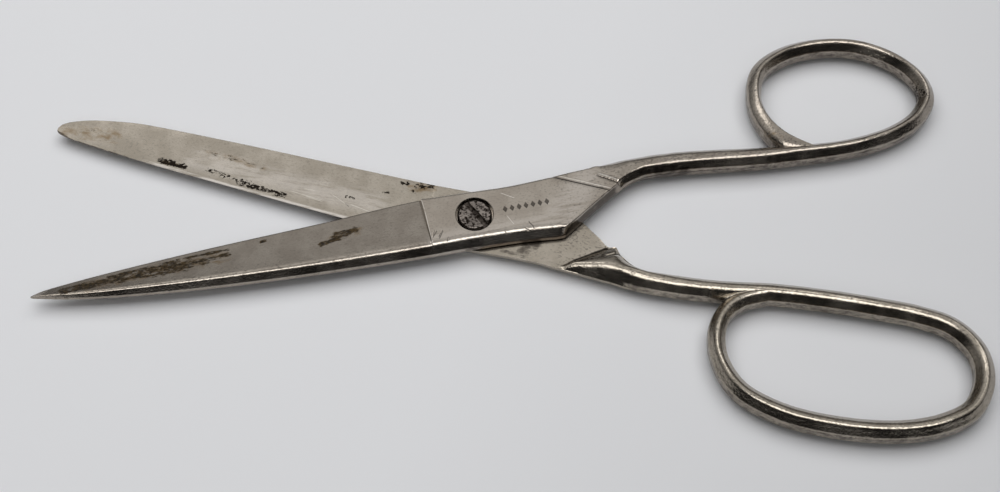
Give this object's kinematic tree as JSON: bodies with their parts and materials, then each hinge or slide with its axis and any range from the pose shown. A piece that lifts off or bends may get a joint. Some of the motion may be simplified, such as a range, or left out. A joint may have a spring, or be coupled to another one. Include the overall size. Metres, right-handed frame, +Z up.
{
  "type": "office scissors",
  "caption": "Hinged pair of forged steel office scissors, one pointed and one round-ended blade, thumb bow and long finger bow, on a slotted pivot screw.",
  "frame": {"origin": "middle of the open pair's outline, on the surface that it lies on", "axes": "+Z up along the pivot axis; the blades point along -X and the bows along +X, and the pointed upper blade is on the -Y side"},
  "size_m": [0.1839, 0.0906, 0.0061],
  "materials": {
    "nickel": "worn satin nickel plating over forged steel, with brown stains and small pits",
    "screw_steel": "worn, dull steel"
  },
  "bodies": {
    "lower": {"back_half": "nickel", "pivot_screw": "screw_steel"},
    "upper": {"front_half": "nickel"}
  },
  "joints": [
    {"name": "pivot", "type": "hinge", "parent": "lower", "child": "upper", "pos_m": [-0.0064, 0.0018, 0.003], "axis": [0, 0, 1], "range_deg": [-23.5, 110]}
  ]
}
